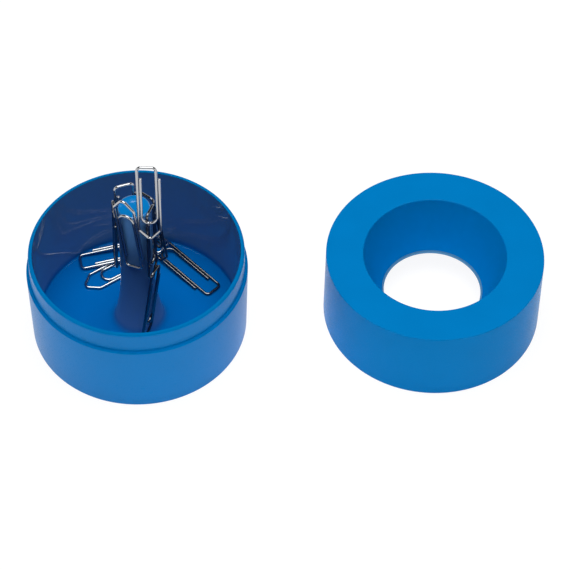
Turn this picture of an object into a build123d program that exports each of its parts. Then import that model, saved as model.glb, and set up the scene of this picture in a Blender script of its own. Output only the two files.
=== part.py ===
# Magnetic paper clip holder: a round cup with a magnet post, its lifted-off lid and the clips it holds.
# Millimetres, Z up. The origin is the middle of the cup's underside; the lid stands beside it on +X.
import os
from math import cos, radians, sin, sqrt, tan

from build123d import *

os.makedirs("parts", exist_ok=True)

# Cup
cup_radius = 36.0
cup_foot_radius = 35.45
ledge_height = 28.0
spigot_radius = 35.0
spigot_height = 7.85
spigot_wall = 1.3
spigot_round = 0.9
floor_thickness = 2.0
floor_radius = 33.2
floor_round = 1.2
foot_round = 0.3
ledge_round = 0.4
rim_round = 0.25

# Post in the middle of the cup
post_height = 57.5
post_top_radius = 5.2
post_waist_radius = 5.45
post_waist_height = 28.0
post_flare = 110.0
post_foot_round = 3.0
post_edge_round = 0.8
post_cap = 1.6

# Magnet in the post and the plug below it
magnet_radius = 4.0
magnet_length = 44.0
magnet_edge = 0.3
magnet_side_clearance = 0.05
magnet_end_clearance = 0.1
plug_side_clearance = 0.02
plug_end_clearance = 0.05
plug_recess = 0.3
plug_wall = 1.4
plug_end = 2.0

# Lid
lid_height = 27.9
lid_edge_radius = 35.9
lid_top_radius = 35.65
lid_wall = 1.6
lid_top = 1.6
lid_side_clearance = 0.1
lid_depth_clearance = 0.1
lid_edge_round = 0.3
mouth_radius = 23.5
mouth_round = 0.5
hole_radius = 16.5
hole_height = 8.7
hole_land = 0.8
funnel_wall = 1.4
lid_x = 97.0
lid_y = 7.0

# Paper clips
wire = 0.9
clip_length = 31.2
clip_width = 7.8
leg_gap = 0.1
point_height = 4.3
loop_height = 7.4
free_setback = 4.7
corner_bend = 1.3
point_bend = 1.4
shoulder_bend = 1.2
clip_gap = 0.2
clip_floor_gap = 0.1

# Places of the clips on the post: drop is from the post's top to a clip's middle, touch is from there
# down to where it meets the post, aside and side are off the line that faces out
standing_drop = -7.0
standing_touch = 8.5
standing_aside = 5.2
standing_side = 1.4
front_drop = 6.5
front_touch = 15.0
front_aside = 1.0
left_drop = 15.9
left_touch = 5.5
left_aside = -1.5
back_drop = 11.3
back_touch = 14.2
back_aside = 1.0
far_right_drop = 16.5
far_right_touch = 13.5
far_right_aside = -1.4
right_drop = 15.2
right_touch = 14.5
right_aside = -1.0
leaning_rise = 16.8
leaning_touch = -11.7
leaning_aside = -5.9

# Places of the loose clips' middles on the floor
floor_low_x = -6.6
floor_low_y = 20.5
floor_right_x = 12.9
floor_right_y = 21.3
floor_top_x = -6.0
floor_top_y = 25.7


def section(edges):
    """Face of a closed outline, drawn as radius and height."""
    return make_face(Wire(edges))


def near(face, r, z):
    return face.vertices().sort_by_distance(Vector(r, z, 0))[0]


def turned(face):
    return revolve(Plane.XZ * face, Axis.Z)


# Cup, with the hollow post grown out of its floor
bore_radius = magnet_radius + magnet_side_clearance
bore_top = post_height - post_cap
rim_height = ledge_height + spigot_height
rim_radius = spigot_radius - spigot_wall
spigot_lead = min(spigot_round, 0.9 * (spigot_wall - rim_round))
flare_drop = post_waist_height - floor_thickness
flare_foot = post_waist_radius + post_flare - sqrt(post_flare**2 - flare_drop**2)
flare_half = flare_drop / 2
flare_middle = post_waist_radius + post_flare - sqrt(post_flare**2 - flare_half**2)

cup_outline = Polyline(
    (flare_foot, floor_thickness),
    (floor_radius, floor_thickness),
    (rim_radius, rim_height),
    (spigot_radius, rim_height),
    (spigot_radius, ledge_height),
    (cup_radius, ledge_height),
    (cup_foot_radius, 0),
    (bore_radius, 0),
    (bore_radius, bore_top),
    (0, bore_top),
    (0, post_height),
    (post_top_radius, post_height),
    (post_waist_radius, post_waist_height),
)
cup_flare = ThreePointArc(
    (post_waist_radius, post_waist_height),
    (flare_middle, post_waist_height - flare_half),
    (flare_foot, floor_thickness),
)
cup_face = section(cup_outline.edges() + cup_flare.edges())
cup_face = fillet(near(cup_face, flare_foot, floor_thickness), post_foot_round)
cup_face = fillet(near(cup_face, floor_radius, floor_thickness), floor_round)
cup_face = fillet(near(cup_face, rim_radius, rim_height), rim_round)
cup_face = fillet(near(cup_face, spigot_radius, rim_height), spigot_lead)
cup_face = fillet(near(cup_face, cup_radius, ledge_height), ledge_round)
cup_face = fillet(near(cup_face, cup_foot_radius, 0), foot_round)
cup_face = fillet(near(cup_face, post_top_radius, post_height), post_edge_round)
base_cup = turned(cup_face)

# Bar magnet, dropped into the post from below
magnet_top = bore_top - magnet_end_clearance
magnet_bottom = magnet_top - magnet_length
bar_magnet = Pos(0, 0, magnet_bottom) * Cylinder(
    magnet_radius, magnet_length, align=(Align.CENTER, Align.CENTER, Align.MIN)
)
bar_magnet = chamfer(bar_magnet.edges().filter_by(GeomType.CIRCLE), magnet_edge)

# Plug pressed in under the magnet, hollow from below
plug_radius = bore_radius - plug_side_clearance
plug_top = magnet_bottom - plug_end_clearance
plug_length = plug_top - plug_recess
plug_core = Pos(0, 0, plug_recess) * Cylinder(
    plug_radius, plug_length, align=(Align.CENTER, Align.CENTER, Align.MIN)
)
plug_hollow = Pos(0, 0, plug_recess) * Cylinder(
    plug_radius - plug_wall,
    plug_length - plug_end,
    align=(Align.CENTER, Align.CENTER, Align.MIN),
)
magnet_plug = plug_core - plug_hollow

# Lid: outer wall, flat top and funnel to a short upright hole, open below, with a socket for the spigot
socket_radius = spigot_radius + lid_side_clearance
socket_depth = spigot_height + lid_depth_clearance
funnel_foot = hole_height + hole_land
funnel_slope = (mouth_radius - hole_radius) / (lid_height - funnel_foot)
funnel_offset = funnel_wall * sqrt(1 + funnel_slope**2)
hole_edge = hole_radius - hole_land * funnel_slope + funnel_offset
under_top = lid_height - lid_top
under_mouth = mouth_radius - lid_top * funnel_slope + funnel_offset
wall_radius = lid_top_radius - lid_wall

lid_outline = Polyline(
    (lid_edge_radius, 0),
    (lid_top_radius, lid_height),
    (mouth_radius, lid_height),
    (hole_radius, funnel_foot),
    (hole_radius, hole_height),
    (hole_edge, hole_height),
    (under_mouth, under_top),
    (wall_radius, under_top),
    (wall_radius, socket_depth),
    (socket_radius, socket_depth),
    (socket_radius, 0),
    close=True,
)
lid_face = section(lid_outline.edges())
lid_face = fillet(near(lid_face, lid_top_radius, lid_height), lid_edge_round)
lid_face = fillet(near(lid_face, mouth_radius, lid_height), mouth_round)
lid_place = Pos(lid_x, lid_y, 0)
lid = lid_place * turned(lid_face)

# Paper clip, one bent wire, flat in its own plane: X across, Y from its point to its flat end
half_width = (clip_width - wire) / 2
inner_half = half_width - wire - leg_gap
point_side = sqrt(half_width**2 + point_height**2)
point_trim = point_bend * (point_side / half_width - 1)
flat_end = clip_length - wire + point_trim
middle = flat_end / 2
free_end = flat_end - free_setback

outer_bends = FilletPolyline(
    (half_width, free_end),
    (half_width, point_height),
    (0, 0),
    (-half_width, point_height),
    (-half_width, flat_end),
    (inner_half, flat_end),
    (inner_half, loop_height + inner_half),
    radius=(shoulder_bend, point_bend, shoulder_bend, corner_bend, corner_bend),
)
inner_loop = ThreePointArc(
    (inner_half, loop_height + inner_half),
    (0, loop_height),
    (-inner_half, loop_height + inner_half),
)
inner_leg = Line((-inner_half, loop_height + inner_half), (-inner_half, free_end))
clip_path = Wire(outer_bends.edges() + inner_loop.edges() + inner_leg.edges())
clip_start = Plane(origin=(half_width, free_end, 0), z_dir=(0, -1, 0))
clip_wire = sweep(clip_start * Circle(wire / 2), path=clip_path)
clip = Pos(0, -middle, 0) * clip_wire


def post_radius(z):
    """Radius of the post at a height above the cup's underside."""
    if z > post_waist_height:
        part_way = (z - post_waist_height) / (post_height - post_waist_height)
        return post_waist_radius + (post_top_radius - post_waist_radius) * part_way
    drop = post_waist_height - z
    return post_waist_radius + post_flare - sqrt(post_flare**2 - drop**2)


def held(around, aside, height, touch, side=0, roll=0, lean=0, over=0, point_up=False, turn=False):
    """A clip on the post. It lies in a plane that faces out at the angle around.

    aside shifts it along that plane, height is its middle, and the wire that lies side off the
    facing line meets the post at touch below the middle. over counts wires that lie between.
    """
    reach = post_radius(height - touch) + wire / 2 + clip_gap
    away = sqrt(reach**2 - side**2) + over * (wire + clip_gap)
    away -= tan(radians(lean)) * touch
    out = Vector(cos(radians(around)), sin(radians(around)), 0)
    along = Vector(-sin(radians(around)), cos(radians(around)), 0)
    rise = Vector(0, 0, 1) * cos(radians(lean)) - out * sin(radians(lean))
    long_way = rise * cos(radians(roll)) + along * sin(radians(roll))
    across = along * cos(radians(roll)) - rise * sin(radians(roll))
    if point_up:
        long_way = long_way * -1
        across = across * -1
    if turn:
        across = across * -1
    centre = out * away + along * aside + Vector(0, 0, height)
    return Plane(origin=centre, x_dir=across, z_dir=across.cross(long_way)) * clip


def loose(x, y, heading, over, dip):
    """A clip on the cup's floor, its flat end at the angle heading and lower by the angle dip."""
    z = floor_thickness + wire / 2 + clip_floor_gap + over * (wire + clip_gap)
    flat_way = Vector(cos(radians(heading)), sin(radians(heading)), 0)
    across = Vector(sin(radians(heading)), -cos(radians(heading)), 0)
    long_way = flat_way * cos(radians(dip)) - Vector(0, 0, 1) * sin(radians(dip))
    return Plane(origin=(x, y, z), x_dir=across, z_dir=across.cross(long_way)) * clip


# Clips held by the magnet, then the loose ones from the lowest up
clip_standing = held(
    around=-90,
    aside=standing_aside,
    height=post_height - standing_drop,
    touch=standing_touch,
    side=standing_side,
    lean=5.5,
    over=0.15,
)
clip_front = held(
    around=-114,
    aside=front_aside,
    height=post_height - front_drop,
    touch=front_touch,
    roll=-6.5,
    point_up=True,
    turn=True,
)
clip_left = held(
    around=190,
    aside=left_aside,
    height=post_height - left_drop,
    touch=left_touch,
    roll=4,
    lean=0.8,
    over=0.5,
)
clip_back = held(
    around=109,
    aside=back_aside,
    height=post_height - back_drop,
    touch=back_touch,
    lean=0.5,
    turn=True,
)
clip_far_right = held(
    around=50,
    aside=far_right_aside,
    height=post_height - far_right_drop,
    touch=far_right_touch,
    roll=6,
    lean=2.7,
    over=1.6,
    turn=True,
)
clip_right = held(
    around=-17,
    aside=right_aside,
    height=post_height - right_drop,
    touch=right_touch,
    roll=5.5,
    lean=1.6,
    over=0.15,
)
clip_leaning = held(
    around=-23,
    aside=leaning_aside,
    height=floor_thickness + leaning_rise,
    touch=leaning_touch,
    roll=10.6,
    lean=-3.8,
    over=2.0,
)
clip_floor_low = loose(floor_low_x, floor_low_y, heading=36, over=0, dip=0)
clip_floor_right = loose(floor_right_x, floor_right_y, heading=-44.5, over=0.65, dip=2.6)
clip_floor_top = loose(floor_top_x, floor_top_y, heading=192.5, over=1.62, dip=5.4)

pieces = {
    "base_cup": base_cup,
    "bar_magnet": bar_magnet,
    "magnet_plug": magnet_plug,
    "lid": lid,
    "clip_standing": clip_standing,
    "clip_front": clip_front,
    "clip_left": clip_left,
    "clip_back": clip_back,
    "clip_far_right": clip_far_right,
    "clip_right": clip_right,
    "clip_leaning": clip_leaning,
    "clip_floor_low": clip_floor_low,
    "clip_floor_right": clip_floor_right,
    "clip_floor_top": clip_floor_top,
}
for name, piece in pieces.items():
    export_step(piece, os.path.join("parts", name + ".step"))
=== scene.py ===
# Magnetic paper clip holder: a moulded cup with a magnet post, ten clips, and the lid set down beside it.
from math import cos, hypot, pi, radians, sin, sqrt, tan

import bmesh
import bpy
from mathutils import Matrix, Vector


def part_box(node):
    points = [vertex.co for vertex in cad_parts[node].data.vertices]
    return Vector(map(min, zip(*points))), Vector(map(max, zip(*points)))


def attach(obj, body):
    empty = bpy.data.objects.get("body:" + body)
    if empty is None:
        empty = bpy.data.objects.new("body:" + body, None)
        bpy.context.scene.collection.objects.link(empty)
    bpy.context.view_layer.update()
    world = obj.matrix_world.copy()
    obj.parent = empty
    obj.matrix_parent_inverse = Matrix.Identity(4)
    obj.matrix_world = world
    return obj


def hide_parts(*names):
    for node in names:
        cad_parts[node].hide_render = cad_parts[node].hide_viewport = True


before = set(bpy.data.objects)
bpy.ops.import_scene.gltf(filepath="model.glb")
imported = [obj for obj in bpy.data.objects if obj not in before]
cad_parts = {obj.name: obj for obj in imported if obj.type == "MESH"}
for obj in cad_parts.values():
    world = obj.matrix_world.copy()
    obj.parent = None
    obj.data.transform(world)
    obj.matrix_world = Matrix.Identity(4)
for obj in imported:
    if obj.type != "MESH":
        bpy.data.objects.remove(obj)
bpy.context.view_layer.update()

# Cup: one injection moulding in blue polystyrene, with a floor, a tapered wall, a thin rim under the lid,
# and a hollow post, whose end has sunk a little. The mould is finely blasted outside and polished inside,
# and the finish follows it. The rim and the ledge, where the lid sits, are matte. The floor inside and
# the rim top are painted a darker blue as shade, and the wall and post inside a greyer blue as haze.
mm = 0.001
post_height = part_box("base_cup")[1].z / mm
cup_radius = 36.0
cup_foot_radius = 35.45
ledge_height = 28.0
rim_height = 35.85
rim_outer = 35.0
rim_inner = 33.7
floor_height = 2.0
floor_radius = 33.2
post_top_radius = 5.2
post_waist_radius = 5.45
post_waist_height = 28.0
post_flare = 110.0
flare_end = floor_height + 3.0
flare_steps = 14
post_cap = 1.6
sink_depth = 0.2
sink_radius = 2.6
sink_steps = 8
bore_radius = 4.05
bore_top = post_height - post_cap
lathe_sides = 256

post_end_round = 0.8
post_foot_round = 2.6
floor_round = 0.7
rim_inner_round = 0.25
rim_outer_round = 0.9
ledge_inner_round = 0.12
ledge_outer_round = 0.7
foot_round = 0.3
bore_round = 0.3

cup_blue = "#007CC6"
# painted shade: the floor inside the cup is a darker blue than the outside
floor_painted_shade_blue = "#0066B4"
# painted haze: the wall and the post inside take a greyer blue, which fades in from the floor between the
# two fade heights below
wall_painted_haze_blue = "#4E7FB9"
# painted shade: the rim top is a darker blue
rim_painted_shade_blue = "#0073B5"
fade_low = 2.2
fade_high = 6.0
rim_band = 0.4
ledge_band = 0.6
post_end_band = 0.5


def linear(code):
    """Linear colour of an sRGB hex value."""
    parts = [int(code[place : place + 2], 16) / 255 for place in (1, 3, 5)]
    return [c / 12.92 if c < 0.04045 else ((c + 0.055) / 1.055) ** 2.4 for c in parts] + [1.0]


def rounded(corners, steps=8):
    """Points of an open outline whose corners, each (across, up, rounding), become arcs."""
    points = [Vector(corners[0][:2])]
    for last, here, ahead in zip(corners, corners[1:], corners[2:]):
        corner = Vector(here[:2])
        if not here[2]:
            points.append(corner)
            continue
        back = (Vector(last[:2]) - corner).normalized()
        onward = (Vector(ahead[:2]) - corner).normalized()
        half = back.angle(onward) / 2
        centre = corner + (back + onward).normalized() * (here[2] / sin(half))
        start = corner + back * (here[2] / tan(half)) - centre
        end = corner + onward * (here[2] / tan(half)) - centre
        for step in range(steps + 1):
            points.append(centre + start.slerp(end, step / steps) * here[2])
    points.append(Vector(corners[-1][:2]))
    return points


def even_shading(piece):
    """Lets the larger faces lead the shading, so that small roundings don't tint the flats beside them."""
    shading = piece.modifiers.new("even_shading", "WEIGHTED_NORMAL")
    shading.weight = 100


def lathe(name, outline, middle=(0, 0)):
    """A piece turned from an outline in millimetres, which runs from axis to axis or round to its start."""
    mesh = bmesh.new()
    rings = []
    for across, up in outline:
        if across == 0:
            places = [(0, 0)]
        else:
            turns = [2 * pi * side / lathe_sides for side in range(lathe_sides)]
            places = [(across * cos(turn), across * sin(turn)) for turn in turns]
        rings.append([mesh.verts.new((x * mm, y * mm, up * mm)) for x, y in places])
    if len(rings[0]) > 1:
        rings.append(rings[0])
    for ring, other in zip(rings, rings[1:]):
        for side in range(lathe_sides):
            beside = side + 1
            loop = [ring[side % len(ring)], ring[beside % len(ring)]]
            loop += [other[beside % len(other)], other[side % len(other)]]
            mesh.faces.new(dict.fromkeys(loop)).smooth = True
    bmesh.ops.recalc_face_normals(mesh, faces=mesh.faces)
    data = bpy.data.meshes.new(name)
    mesh.to_mesh(data)
    mesh.free()
    piece = bpy.data.objects.new(name, data)
    piece.location = (middle[0], middle[1], 0)
    bpy.context.scene.collection.objects.link(piece)
    even_shading(piece)
    return piece


def node(tree, kind, inputs=None, **settings):
    """Adds a shader node with its settings. An input is a value, or the socket that feeds it.

    Sockets go by name, or by place where a node has several of one name, as Mix and Math do.
    """
    made = tree.nodes.new("ShaderNode" + kind)
    for name, value in settings.items():
        setattr(made, name, value)
    for name, value in (inputs or {}).items():
        if isinstance(value, bpy.types.NodeSocket):
            tree.links.new(value, made.inputs[name])
        else:
            made.inputs[name].default_value = value
    return made


def new_material(name):
    """A new material and its empty node tree."""
    material = bpy.data.materials.new(name)
    material.use_nodes = True
    material.node_tree.nodes.clear()
    return material, material.node_tree


# Noise textures give values that lie mostly between these two
noise_low = 0.3
noise_high = 0.7


def moulded_polystyrene(name, colour, grain, rough, sheen, painted_haze_colour=None):
    """Moulded polystyrene: even colour with faint flow clouds, and the mould's own grain.

    A blasted mould gives the eye a soft haze of the surroundings, a polished one mirrors them, and a
    matte one shows its colour alone. grain is the spacing and depth in millimetres, rough the lowest
    and highest roughness, sheen the strength of what it mirrors, and the last argument a second,
    greyer colour, which the wall and the post take above the floor: a painted haze of reflected light.
    """
    flow_mm = 14.0
    flow_shift = 0.06
    grain_strength = 0.6
    polystyrene_ior = 1.55
    grain_mm, grain_depth_mm = grain
    material, tree = new_material(name)
    place = node(tree, "TexCoord").outputs["Object"]
    flow = node(
        tree,
        "TexNoise",
        {"Vector": place, "Scale": 1 / (flow_mm * mm), "Detail": 3.0, "Roughness": 0.5},
    )
    texture = node(
        tree,
        "TexNoise",
        {"Vector": place, "Scale": 1 / (grain_mm * mm), "Detail": 2.0, "Roughness": 0.6},
    )
    deep = [channel * (1 - flow_shift) for channel in linear(colour)[:3]] + [1.0]
    pale = [min(1.0, channel * (1 + flow_shift)) for channel in linear(colour)[:3]] + [1.0]
    tint = node(tree, "Mix", {0: flow.outputs["Fac"], 6: deep, 7: pale}, data_type="RGBA")
    # painted haze: above the floor the colour fades to the greyer upright colour
    if painted_haze_colour:
        spot = node(tree, "SeparateXYZ", {0: place})
        risen = node(
            tree,
            "MapRange",
            {"Value": spot.outputs["Z"], "From Min": fade_low * mm, "From Max": fade_high * mm},
            interpolation_type="SMOOTHSTEP",
        )
        tint = node(
            tree,
            "Mix",
            {0: risen.outputs["Result"], 6: tint.outputs[2], 7: linear(painted_haze_colour)},
            data_type="RGBA",
        )
    haze = node(
        tree,
        "MapRange",
        {
            "Value": texture.outputs["Fac"],
            "From Min": noise_low,
            "From Max": noise_high,
            "To Min": rough[0],
            "To Max": rough[1],
        },
    )
    bump = node(
        tree,
        "Bump",
        {
            "Height": texture.outputs["Fac"],
            "Strength": grain_strength,
            "Distance": grain_depth_mm * mm,
        },
    )
    plastic = node(
        tree,
        "BsdfPrincipled",
        {
            "Base Color": tint.outputs[2],
            "Roughness": haze.outputs["Result"],
            "IOR": polystyrene_ior,
            "Specular IOR Level": sheen,
            "Normal": bump.outputs["Normal"],
        },
    )
    node(tree, "OutputMaterial", {"Surface": plastic.outputs["BSDF"]})
    return material


def post_radius(up):
    """Radius of the post at a height: a slight taper above the waist, a wide flare below it."""
    if up > post_waist_height:
        share = (up - post_waist_height) / (post_height - post_waist_height)
        return post_waist_radius + (post_top_radius - post_waist_radius) * share
    drop = post_waist_height - up
    return post_waist_radius + post_flare - sqrt(post_flare**2 - drop**2)


sink_rings = [sink_radius * step / sink_steps for step in range(sink_steps + 1)]
sink = [
    (across, post_height - sink_depth * (1 - (across / sink_radius) ** 2), 0)
    for across in sink_rings
]
flare_drop = (post_waist_height - flare_end) / flare_steps
flare_heights = [post_waist_height - step * flare_drop for step in range(flare_steps + 1)]
flare = [(post_radius(up), up, 0) for up in flare_heights]
cup_corners = [
    *sink,
    (post_top_radius, post_height, post_end_round),
    *flare,
    (post_radius(floor_height), floor_height, post_foot_round),
    (floor_radius, floor_height, floor_round),
    (rim_inner, rim_height, rim_inner_round),
    (rim_outer, rim_height, rim_outer_round),
    (rim_outer, ledge_height, ledge_inner_round),
    (cup_radius, ledge_height, ledge_outer_round),
    (cup_foot_radius, 0, foot_round),
    (bore_radius, 0, bore_round),
    (bore_radius, bore_top, bore_round),
    (0, bore_top),
]
cup = lathe("cup_moulding", rounded(cup_corners))

# Blast grain is about 0.05 mm wide, too fine to show from here, and is drawn at 0.35 mm. A polished
# face has only a long, faint waviness.
blast_grain = (0.35, 0.006)
polish_wave = (0.9, 0.0001)
blasted = moulded_polystyrene(
    "blasted_polystyrene", cup_blue, blast_grain, rough=(0.26, 0.34), sheen=0.06
)
# The inside is painted: its floor blue stands for shade, its greyer upright blue for a haze of reflected
# light.
polished = moulded_polystyrene(
    "polished_polystyrene", floor_painted_shade_blue, polish_wave, rough=(0.035, 0.06), sheen=0.1, painted_haze_colour=wall_painted_haze_blue
)
polished_end = moulded_polystyrene(
    "polished_edge_polystyrene", cup_blue, polish_wave, rough=(0.08, 0.1), sheen=0.5
)
matte = moulded_polystyrene(
    "matte_polystyrene", cup_blue, blast_grain, rough=(0.5, 0.6), sheen=0.0
)
# The rim top's darker blue is painted shade.
shaded_matte_rim = moulded_polystyrene(
    "painted_shade_rim_polystyrene", rim_painted_shade_blue, blast_grain, rough=(0.5, 0.6), sheen=0.0
)
for finish in (blasted, polished, polished_end, matte, shaded_matte_rim):
    cup.data.materials.append(finish)
outside, inside, post_end, ledge, rim = range(len(cup.data.materials))
rim_middle = (rim_inner + rim_outer) / 2
for face in cup.data.polygons:
    across = hypot(face.center.x, face.center.y) / mm
    up = face.center.z / mm
    if across > rim_middle / 2 and up > rim_height - rim_band:
        face.material_index = rim
    elif across > rim_middle and abs(up - ledge_height) < ledge_band:
        face.material_index = ledge
    elif up > post_height - post_end_band:
        face.material_index = post_end
    elif across < rim_middle and up > floor_height / 2:
        face.material_index = inside
    else:
        face.material_index = outside
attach(cup, "cup")
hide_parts("base_cup")

# Bar magnet: a round bar of cast magnet alloy, ground on its side and dropped into the post from below.
# It is dark grey with the grain of its crystals, and the post and the plug hide all of it.
alloy_dark = "#56565A"
alloy_pale = "#7A7A7E"
crystal_mm = 0.5
ground_roughness = 0.42


def dress(name, material):
    """Gives a node that keeps its CAD shape its material."""
    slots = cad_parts[name].data.materials
    slots.clear()
    slots.append(material)


material, tree = new_material("ground_cast_magnet_alloy")
place = node(tree, "TexCoord")
crystals = node(
    tree,
    "TexVoronoi",
    {"Vector": place.outputs["Object"], "Scale": 1 / (crystal_mm * mm)},
)
shade = node(
    tree,
    "Mix",
    {0: crystals.outputs["Distance"], 6: linear(alloy_dark), 7: linear(alloy_pale)},
    data_type="RGBA",
)
alloy = node(
    tree,
    "BsdfPrincipled",
    {"Base Color": shade.outputs[2], "Metallic": 1.0, "Roughness": ground_roughness},
)
node(tree, "OutputMaterial", {"Surface": alloy.outputs["BSDF"]})
dress("bar_magnet", material)

# Plug: a small moulding pressed into the bore under the magnet, hollow from below, in the cup's own blue
# blasted polystyrene. It shows only when the cup is picked up.
dress("magnet_plug", blasted)

# Paper clips: each is one length of drawn steel wire, bent flat with a pointed end and then bright zinc
# plated. Seven hang on the post by the magnet, three lie loose on the floor. All are one zinc in three
# tones: half take a darker one as painted shade and dark reflections, two loose ones a slightly paler,
# bluer one as painted highlight, and the rest the plain one.
wire = 0.9
clip_length = 31.2
clip_width = 7.8
leg_gap = 0.1
point_height = 4.3
loop_height = 7.4
free_setback = 4.7
corner_bend = 1.3
point_bend = 1.4
shoulder_bend = 1.2
bend_steps = 12
clip_gap = 0.2
clip_floor_gap = 0.1
wire_sides = 20
end_chamfer = 0.12

half_width = (clip_width - wire) / 2
inner_half = half_width - wire - leg_gap
point_side = hypot(half_width, point_height)
flat_end = clip_length - wire + point_bend * (point_side / half_width - 1)
free_end = flat_end - free_setback
clip_line = rounded(
    [
        (half_width, free_end),
        (half_width, point_height, shoulder_bend),
        (0, 0, point_bend),
        (-half_width, point_height, shoulder_bend),
        (-half_width, flat_end, corner_bend),
        (inner_half, flat_end, corner_bend),
        (inner_half, loop_height, inner_half),
        (-inner_half, loop_height, inner_half),
        (-inner_half, free_end),
    ],
    bend_steps,
)


def wire_mesh(name, line):
    """A round wire along a flat line, with its two cut ends chamfered, and its length in its UVs."""
    middle = Vector((0, flat_end / 2))
    cut = wire / 2 - end_chamfer
    start = line[0] + (line[1] - line[0]).normalized() * end_chamfer
    end = line[-1] + (line[-2] - line[-1]).normalized() * end_chamfer
    stations = [(line[0], cut), (start, wire / 2)]
    stations += [(point, wire / 2) for point in line[1:-1]]
    stations += [(end, wire / 2), (line[-1], cut)]
    mesh = bmesh.new()
    along = mesh.loops.layers.uv.new("along_wire")
    rings = []
    lengths = []
    run = 0.0
    for index, (point, radius) in enumerate(stations):
        before = stations[max(index - 1, 0)][0]
        after = stations[min(index + 1, len(stations) - 1)][0]
        run += (point - before).length
        lengths.append(run)
        forward = (after - before).normalized()
        sideways = Vector((-forward.y, forward.x))
        ring = []
        for side in range(wire_sides):
            turn = 2 * pi * side / wire_sides
            spot = point - middle + sideways * (radius * cos(turn))
            ring.append(mesh.verts.new((spot.x * mm, spot.y * mm, radius * sin(turn) * mm)))
        rings.append(ring)
    for index, (ring, other) in enumerate(zip(rings, rings[1:])):
        for side in range(wire_sides):
            beside = (side + 1) % wire_sides
            face = mesh.faces.new((ring[side], ring[beside], other[beside], other[side]))
            face.smooth = True
            marks = [(side, index), (side + 1, index), (side + 1, index + 1), (side, index + 1)]
            for loop, (across, station) in zip(face.loops, marks):
                loop[along].uv = (across / wire_sides, lengths[station])
    mesh.faces.new(reversed(rings[0]))
    mesh.faces.new(rings[-1])
    bmesh.ops.recalc_face_normals(mesh, faces=mesh.faces)
    data = bpy.data.meshes.new(name)
    mesh.to_mesh(data)
    mesh.free()
    return data


def zinc_plated_wire(name, deep, pale):
    """Bright zinc on drawn steel wire: a grey mirror, blurred a little along its drawing lines.

    Real drawing lines are too fine to show, so nine streaks round the wire stand for them.
    """
    streak_mm = 6.0
    streaks_round = 9.0
    smoothest = 0.1
    roughest = 0.18
    material, tree = new_material(name)
    place = node(tree, "UVMap", uv_map="along_wire")
    stretch = node(
        tree,
        "Mapping",
        {"Vector": place.outputs["UV"], "Scale": (streaks_round, 1 / streak_mm, 1.0)},
    )
    streaks = node(
        tree,
        "TexNoise",
        {"Vector": stretch.outputs["Vector"], "Scale": 1.0, "Detail": 3.0, "Roughness": 0.6},
    )
    tone = node(
        tree,
        "Mix",
        {0: streaks.outputs["Fac"], 6: linear(deep), 7: linear(pale)},
        data_type="RGBA",
    )
    blur = node(
        tree,
        "MapRange",
        {
            "Value": streaks.outputs["Fac"],
            "From Min": noise_low,
            "From Max": noise_high,
            "To Min": smoothest,
            "To Max": roughest,
        },
    )
    zinc = node(
        tree,
        "BsdfPrincipled",
        {"Base Color": tone.outputs[2], "Metallic": 1.0, "Roughness": blur.outputs["Result"]},
    )
    node(tree, "OutputMaterial", {"Surface": zinc.outputs["BSDF"]})
    return material


def stand(across, long_way, centre):
    """Matrix of a clip from the way across it, the way to its flat end, and its middle."""
    face = across.cross(long_way)
    rows = zip(across, long_way, face, centre * mm)
    return Matrix([*rows, (0, 0, 0, 1)])


def held(around, aside, height, touch, side=0, roll=0, lean=0, over=0, point_up=False, turn=False):
    """Place of a clip on the post, in a plane that faces out at the angle around.

    aside shifts it along that plane, height is its middle, and the wire that lies side off the
    facing line meets the post at touch below the middle. over counts wires that lie between.
    """
    reach = post_radius(height - touch) + wire / 2 + clip_gap
    away = sqrt(reach**2 - side**2) + over * (wire + clip_gap)
    away -= tan(radians(lean)) * touch
    out = Vector((cos(radians(around)), sin(radians(around)), 0))
    along = Vector((-out.y, out.x, 0))
    up = Vector((0, 0, 1))
    rise = up * cos(radians(lean)) - out * sin(radians(lean))
    long_way = rise * cos(radians(roll)) + along * sin(radians(roll))
    across = along * cos(radians(roll)) - rise * sin(radians(roll))
    if point_up:
        long_way = -long_way
        across = -across
    if turn:
        across = -across
    return stand(across, long_way, out * away + along * aside + up * height)


def loose(x, y, heading, over, dip):
    """Place of a clip on the floor, its flat end at the angle heading and lower by the angle dip."""
    up = floor_height + wire / 2 + clip_floor_gap + over * (wire + clip_gap)
    flat_way = Vector((cos(radians(heading)), sin(radians(heading)), 0))
    across = Vector((flat_way.y, -flat_way.x, 0))
    long_way = flat_way * cos(radians(dip)) - Vector((0, 0, 1)) * sin(radians(dip))
    return stand(across, long_way, Vector((x, y, up)))


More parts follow.
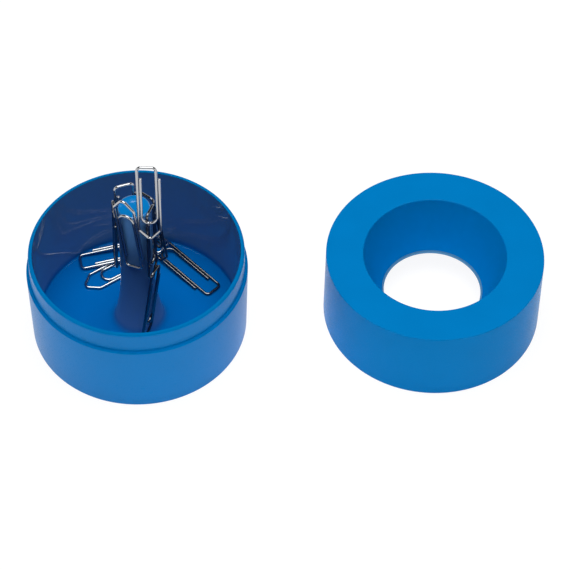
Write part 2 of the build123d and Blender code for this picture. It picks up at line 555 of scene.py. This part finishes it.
# Three copies of one zinc: a paler, bluer one paints highlights, a darker one paints shade and dark
# reflections
highlit_zinc = zinc_plated_wire("painted_highlight_zinc_plated_wire", deep="#ADB2B7", pale="#C3C8CC")
plain_zinc = zinc_plated_wire("plain_zinc_plated_wire", deep="#ACADAF", pale="#C0C1C3")
shaded_zinc = zinc_plated_wire("painted_shade_zinc_plated_wire", deep="#6C6F73", pale="#84878B")
clips = {
    "clip_standing": (
        plain_zinc,
        held(around=-90, aside=5.2, height=64.5, touch=8.5, side=1.4, lean=5.5, over=0.15),
    ),
    "clip_front": (
        plain_zinc,
        held(around=-114, aside=1.0, height=51, touch=15, roll=-6.5, point_up=True, turn=True),
    ),
    "clip_left": (
        shaded_zinc,
        held(around=190, aside=-1.5, height=41.6, touch=5.5, roll=4, lean=0.8, over=0.5),
    ),
    "clip_back": (
        plain_zinc,
        held(around=109, aside=1.0, height=46.2, touch=14.2, lean=0.5, turn=True),
    ),
    "clip_far_right": (
        shaded_zinc,
        held(around=50, aside=-1.4, height=41, touch=13.5, roll=6, lean=2.7, over=1.6, turn=True),
    ),
    "clip_right": (
        shaded_zinc,
        held(around=-17, aside=-1.0, height=42.3, touch=14.5, roll=5.5, lean=1.6, over=0.15),
    ),
    "clip_leaning": (
        shaded_zinc,
        held(around=-23, aside=-5.9, height=18.8, touch=-11.7, roll=10.6, lean=-3.8, over=2.0),
    ),
    "clip_floor_low": (highlit_zinc, loose(x=-6.6, y=20.5, heading=36, over=0, dip=0)),
    "clip_floor_right": (shaded_zinc, loose(x=12.9, y=21.3, heading=-44.5, over=0.65, dip=2.6)),
    "clip_floor_top": (highlit_zinc, loose(x=-6.0, y=25.7, heading=192.5, over=1.62, dip=5.4)),
}
for clip, (finish, place) in clips.items():
    bent = bpy.data.objects.new(clip + "_wire", wire_mesh("bent_wire", clip_line))
    bent.data.materials.append(finish)
    bpy.context.scene.collection.objects.link(bent)
    bent.matrix_world = place
    even_shading(bent)
    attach(bent, clip)
    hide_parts(clip)

# Lid: a second moulding in the same blue polystyrene, a ring with a flat top and a matte funnel to the hole
# where the post and its clips come through, ending there in a thin lip painted a paler blue as sheen. Its
# open underside drops over the cup's rim. It stands beside the cup.
lid_low, lid_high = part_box("lid")
lid_middle = (lid_low + lid_high) / 2
lid_height = lid_high.z / mm
lid_top = 1.6
lid_edge_radius = 35.9
lid_top_radius = 35.65
lid_inner = 34.05
socket_radius = 35.1
socket_depth = 7.95
mouth_radius = 23.5
hole_radius = 16.5
hole_height = 8.7
hole_land = 0.8
funnel_wall = 1.4
lip_radius = 16.06
lip_high = 9.2
lip_low = 9.0
lip_band = 0.15

lid_foot_round = 0.2
lid_top_round = 0.3
mouth_round = 0.5
funnel_round = 0.3
lip_round = 0.06
hole_edge_round = 0.2
under_mouth_round = 0.4
under_wall_round = 0.6
socket_round = 0.15

lid_blue = "#007CC3"
# painted sheen: the thin lip at the hole is a paler, greyer blue
lip_painted_sheen_blue = "#528AB0"

under_top = lid_height - lid_top
funnel_foot = hole_height + hole_land
slope = (mouth_radius - hole_radius) / (lid_height - funnel_foot)
funnel_across = funnel_wall * hypot(slope, 1)
under_mouth = hole_radius + slope * (under_top - funnel_foot) + funnel_across
hole_edge = hole_radius - slope * hole_land + funnel_across
lid_start = (lid_edge_radius + socket_radius) / 2
lid_corners = [
    (lid_start, 0),
    (lid_edge_radius, 0, lid_foot_round),
    (lid_top_radius, lid_height, lid_top_round),
    (mouth_radius, lid_height, mouth_round),
    (hole_radius + lip_band, funnel_foot + lip_band / slope, 0),
    (hole_radius, funnel_foot, funnel_round),
    (lip_radius, lip_high, lip_round),
    (lip_radius, lip_low, lip_round),
    (hole_edge, hole_height, hole_edge_round),
    (under_mouth, under_top, under_mouth_round),
    (lid_inner, under_top, under_wall_round),
    (lid_inner, socket_depth, socket_round),
    (socket_radius, socket_depth, socket_round),
    (socket_radius, 0, lid_foot_round),
    (lid_start, 0),
]
lid = lathe("lid_moulding", rounded(lid_corners)[:-1], middle=lid_middle)
fine_blasted = moulded_polystyrene(
    "fine_blasted_polystyrene", lid_blue, blast_grain, rough=(0.22, 0.29), sheen=0.016
)
# The lip's paler blue is a painted sheen.
painted_sheen_lip = moulded_polystyrene(
    "painted_sheen_lip_polystyrene", lip_painted_sheen_blue, blast_grain, rough=(0.28, 0.36), sheen=0.1
)
for finish in (fine_blasted, matte, painted_sheen_lip):
    lid.data.materials.append(finish)
shell, funnel, lip = range(len(lid.data.materials))
for face in lid.data.polygons:
    across = hypot(face.center.x, face.center.y) / mm
    if across < hole_radius + lip_band:
        face.material_index = lip
    elif across < mouth_radius:
        face.material_index = funnel
    else:
        face.material_index = shell
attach(lid, "lid")
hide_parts("lid")

# Studio: a white laminate table under one large soft box, in a room that is dark above a pale horizon. The
# table throws light back up and keeps the holder's faint shadow. It shows white to the eye and in what
# mirrors it.
table_half = 1.6
table_drop = 0.05 * mm
table_white = "#F8F8F8"
seen_grey = "#656565"
seen_glow = 0.92
horizon_glow = 1.0
room_glow = 0.05
glow_until = radians(12)
glow_gone = radians(26)
plain_white = "#FFFFFF"


def in_sight(tree):
    """Socket that is 1 for what is seen, straight or in a mirror or through glass, and else 0."""
    rays = node(tree, "LightPath")
    straight_or_mirrored = node(
        tree,
        "Math",
        {0: rays.outputs["Is Camera Ray"], 1: rays.outputs["Is Glossy Ray"]},
        operation="MAXIMUM",
    )
    seen = node(
        tree,
        "Math",
        {0: straight_or_mirrored.outputs[0], 1: rays.outputs["Is Transmission Ray"]},
        operation="MAXIMUM",
    )
    return seen.outputs[0]


table_mesh = bpy.data.meshes.new("table")
table_ways = [(-1, -1), (1, -1), (1, 1), (-1, 1)]
table_corners = [(x * table_half, y * table_half, -table_drop) for x, y in table_ways]
table_mesh.from_pydata(table_corners, [], [(0, 1, 2, 3)])
table = bpy.data.objects.new("table", table_mesh)
bpy.context.scene.collection.objects.link(table)
material, tree = new_material("white_laminate")
seen = in_sight(tree)
shown = node(tree, "Math", {0: seen, 1: seen_glow}, operation="MULTIPLY")
tone = node(
    tree,
    "Mix",
    {0: seen, 6: linear(table_white), 7: linear(seen_grey)},
    data_type="RGBA",
)
laminate = node(tree, "BsdfDiffuse", {"Color": tone.outputs[2]})
white = node(tree, "Emission", {"Color": linear(plain_white), "Strength": shown.outputs[0]})
surface = node(tree, "AddShader", {0: laminate.outputs[0], 1: white.outputs[0]})
node(tree, "OutputMaterial", {"Surface": surface.outputs[0]})
table_mesh.materials.append(material)

world = bpy.data.worlds.new("studio")
bpy.context.scene.world = world
world.use_nodes = True
world.node_tree.nodes.clear()
tree = world.node_tree
way = node(tree, "TexCoord")
level = node(tree, "SeparateXYZ", {0: way.outputs["Generated"]})
seen = in_sight(tree)
fade = node(
    tree,
    "MapRange",
    {
        "Value": level.outputs["Z"],
        "From Min": sin(glow_until),
        "From Max": sin(glow_gone),
        "To Min": horizon_glow - room_glow,
        "To Max": 0.0,
    },
    interpolation_type="SMOOTHSTEP",
)
horizon = node(tree, "Math", {0: seen, 1: fade.outputs["Result"]}, operation="MULTIPLY")
glow = node(tree, "Math", {0: horizon.outputs[0], 1: room_glow}, operation="ADD")
room = node(tree, "Background", {"Color": linear(plain_white), "Strength": glow.outputs[0]})
node(tree, "OutputWorld", {"Surface": room.outputs[0]})

# Each lamp: place, turn, size across, watts, and whether glossy faces mirror it
lamps = {
    "overhead_soft_box": ((0.03, 0.0, 0.9), (0, 0, 0), 0.9, 9.0, True),
    "lit_table": ((0.05, 0.0, -0.02 * mm), (pi, 0, 0), 1.2, 2.3, False),
}
for name, (place, turn, size, watts, mirrored) in lamps.items():
    light = bpy.data.lights.new(name, "AREA")
    light.shape = "ELLIPSE"
    light.size = size
    light.size_y = size
    light.energy = watts
    holder = bpy.data.objects.new(name, light)
    holder.location = place
    holder.rotation_euler = turn
    holder.visible_camera = False
    holder.visible_glossy = mirrored
    bpy.context.scene.collection.objects.link(holder)

# Camera: a long lens at the photograph's viewing angle and distance, which were fitted to its outlines,
# with the slight tilt that the photograph has.
sensor_mm = 36.0
lens_mm = 162.69
camera_place = Vector((0.04812, -0.53127, 0.67459))
look_down = radians(50.968)
tilt_right = radians(0.894)
eye = bpy.data.cameras.new("camera")
eye.sensor_width = sensor_mm
eye.lens = lens_mm
camera = bpy.data.objects.new("camera", eye)
camera.matrix_world = (
    Matrix.Translation(camera_place)
    @ Matrix.Rotation(pi / 2 - look_down, 4, "X")
    @ Matrix.Rotation(tilt_right, 4, "Z")
)
bpy.context.scene.collection.objects.link(camera)
bpy.context.scene.camera = camera
bpy.context.scene.view_settings.view_transform = "Standard"
